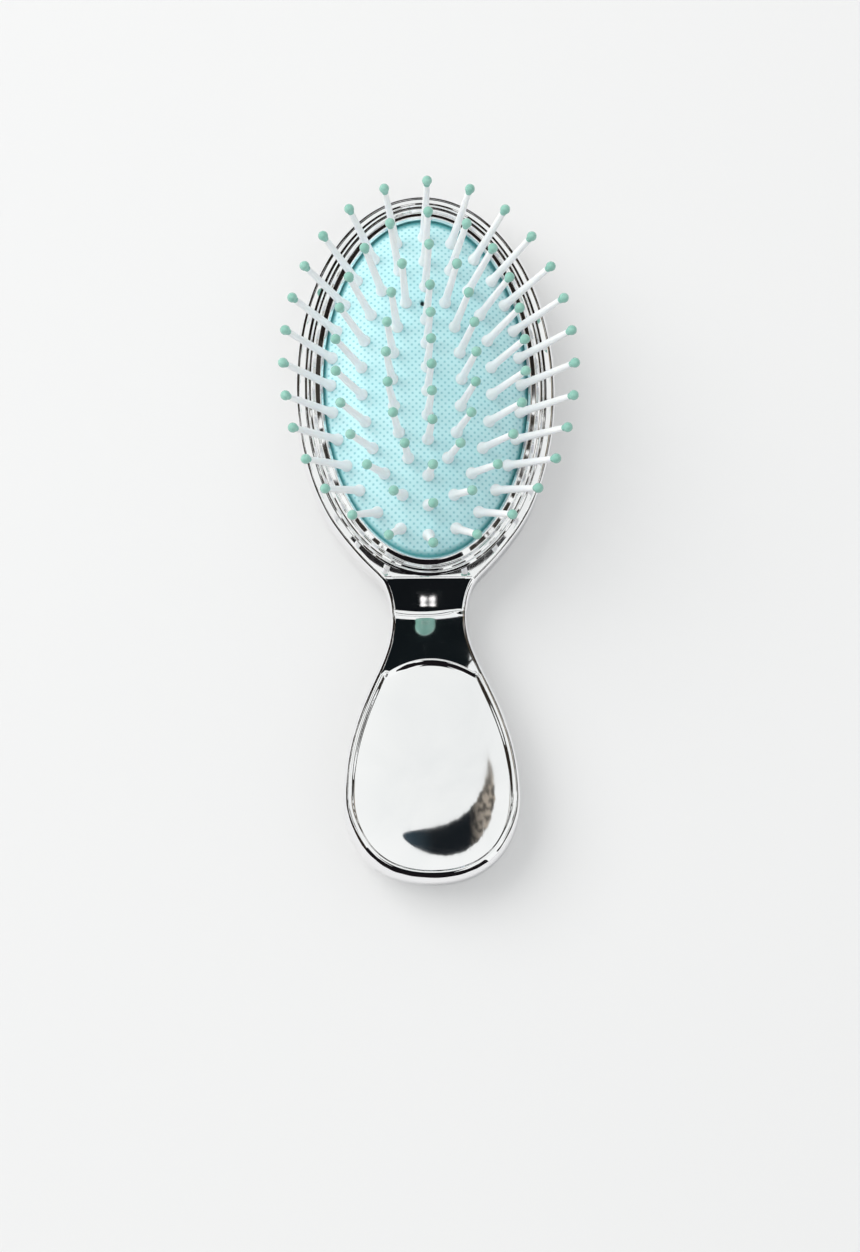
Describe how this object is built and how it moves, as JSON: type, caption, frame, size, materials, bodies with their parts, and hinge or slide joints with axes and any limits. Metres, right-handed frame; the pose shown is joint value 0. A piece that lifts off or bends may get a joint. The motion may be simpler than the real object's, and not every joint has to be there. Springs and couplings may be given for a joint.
{
  "type": "pocket hair brush",
  "caption": "Pocket-size air-cushion hair brush with a chromed body, a domed aqua cushion in an oval frame, and white pins with mint ball tips that sink as the cushion is pressed.",
  "frame": {"origin": "on the flat back, under the middle of the cushion", "axes": "+Y along the brush towards the top of the head, +Z out of the back through the cushion and along the pins, +X across"},
  "size_m": [0.0524, 0.1248, 0.0303],
  "materials": {
    "chrome_shell": "mirror chrome plating on ABS plastic",
    "chrome_trim": "mirror chrome plating on ABS plastic",
    "cushion_rubber": "matt aqua rubber with a fine lattice of dots",
    "pin_nylon": "satin white nylon",
    "tip_mint": "satin mint coating"
  },
  "bodies": {
    "brush_body": {"back_shell": "chrome_shell", "front_shell": "chrome_shell", "cushion_frame": "chrome_trim", "cushion": "cushion_rubber"},
    "centre_pins": {"centre_pins_01": "pin_nylon", "centre_pins_02": "pin_nylon", "centre_pins_03": "pin_nylon", "centre_pins_04": "pin_nylon", "centre_pins_05": "pin_nylon", "centre_pins_06": "pin_nylon", "centre_tips": "tip_mint"},
    "inner_pins": {"inner_pins_01": "pin_nylon", "inner_pins_02": "pin_nylon", "inner_pins_03": "pin_nylon", "inner_pins_04": "pin_nylon", "inner_pins_05": "pin_nylon", "inner_pins_06": "pin_nylon", "inner_pins_07": "pin_nylon", "inner_pins_08": "pin_nylon", "inner_pins_09": "pin_nylon", "inner_tips": "tip_mint"},
    "middle_pins": {"middle_pins_01": "pin_nylon", "middle_pins_02": "pin_nylon", "middle_pins_03": "pin_nylon", "middle_pins_04": "pin_nylon", "middle_pins_05": "pin_nylon", "middle_pins_06": "pin_nylon", "middle_pins_07": "pin_nylon", "middle_pins_08": "pin_nylon", "middle_pins_09": "pin_nylon", "middle_pins_10": "pin_nylon", "middle_pins_11": "pin_nylon", "middle_pins_12": "pin_nylon", "middle_tips": "tip_mint"},
    "outer_pins": {"outer_pins_01": "pin_nylon", "outer_pins_02": "pin_nylon", "outer_pins_03": "pin_nylon", "outer_pins_04": "pin_nylon", "outer_pins_05": "pin_nylon", "outer_pins_06": "pin_nylon", "outer_pins_07": "pin_nylon", "outer_pins_08": "pin_nylon", "outer_pins_09": "pin_nylon", "outer_pins_10": "pin_nylon", "outer_pins_11": "pin_nylon", "outer_pins_12": "pin_nylon", "outer_pins_13": "pin_nylon", "outer_pins_14": "pin_nylon", "outer_pins_15": "pin_nylon", "outer_tips": "tip_mint"}
  },
  "joints": [
    {"name": "cushion_press", "type": "slide", "parent": "brush_body", "child": "centre_pins", "axis": [0, 0, -1], "range_m": [0, 0.003], "stiffness_N_per_m": 1500, "deforming": ["cushion"]},
    {"name": "inner_sink", "type": "slide", "parent": "brush_body", "child": "inner_pins", "axis": [0, 0, -1], "range_m": [0, 0.00267]},
    {"name": "middle_sink", "type": "slide", "parent": "brush_body", "child": "middle_pins", "axis": [0, 0, -1], "range_m": [0, 0.00201]},
    {"name": "outer_sink", "type": "slide", "parent": "brush_body", "child": "outer_pins", "axis": [0, 0, -1], "range_m": [0, 0.00075]}
  ],
  "couplings": [
    {"joint": "inner_sink", "follows": "cushion_press", "ratio": 0.89},
    {"joint": "middle_sink", "follows": "cushion_press", "ratio": 0.67},
    {"joint": "outer_sink", "follows": "cushion_press", "ratio": 0.25}
  ]
}
